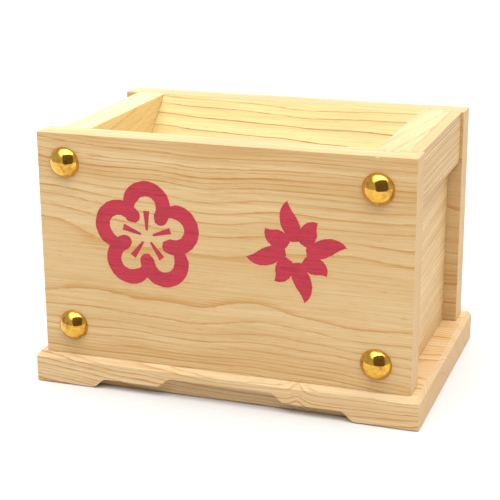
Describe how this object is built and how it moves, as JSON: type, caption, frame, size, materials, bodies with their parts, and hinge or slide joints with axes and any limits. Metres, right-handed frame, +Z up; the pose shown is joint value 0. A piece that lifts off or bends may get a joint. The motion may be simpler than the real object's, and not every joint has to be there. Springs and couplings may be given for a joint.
{
  "type": "donation box",
  "caption": "Wooden tabletop donation box with an open top, an inner coin slope down to a slot, domed brass nails and a side panel that lifts out to empty it.",
  "frame": {"origin": "centre of the footprint's bounding box, on the plane that the base stands on", "axes": "+Z up; -Y is the front, where the domed nails are; +X is the viewer's right from the front, where the lift-out panel is"},
  "size_m": [0.21, 0.14, 0.137],
  "materials": {
    "body_wood": "planed bare softwood, straw coloured, with fine dark latewood lines",
    "base_wood": "planed bare softwood, straw coloured, bevelled edges",
    "inner_wood": "planed bare softwood, pale, with three wandering dark grain lines on the slope",
    "dowel_wood": "plain turned beech",
    "polished_brass": "polished yellow brass",
    "screw_steel": "zinc plated",
    "red_paint": "thin matt crimson paint brushed on the front board"
  },
  "bodies": {
    "box": {"base_plate": "base_wood", "front_board": "body_wood", "back_board": "body_wood", "left_side_board": "body_wood", "coin_slope": "inner_wood", "rear_cleat": "inner_wood", "left_cleat": "inner_wood", "domed_nail_top_left": "polished_brass", "domed_nail_top_right": "polished_brass", "domed_nail_bottom_left": "polished_brass", "domed_nail_bottom_right": "polished_brass", "dowel_front_lower": "dowel_wood", "dowel_front_upper": "dowel_wood", "dowel_back_lower": "dowel_wood", "dowel_back_upper": "dowel_wood", "base_screw_front_left": "screw_steel", "base_screw_front_right": "screw_steel", "base_screw_back_left": "screw_steel", "base_screw_back_right": "screw_steel", "base_screw_side_front": "screw_steel", "base_screw_side_back": "screw_steel"},
    "side_panel": {"right_side_panel": "body_wood", "grip_batten": "body_wood"}
  },
  "joints": [
    {"name": "panel_lift", "type": "slide", "parent": "box", "child": "side_panel", "axis": [0, 0, 1], "range_m": [0, 0.1]}
  ]
}
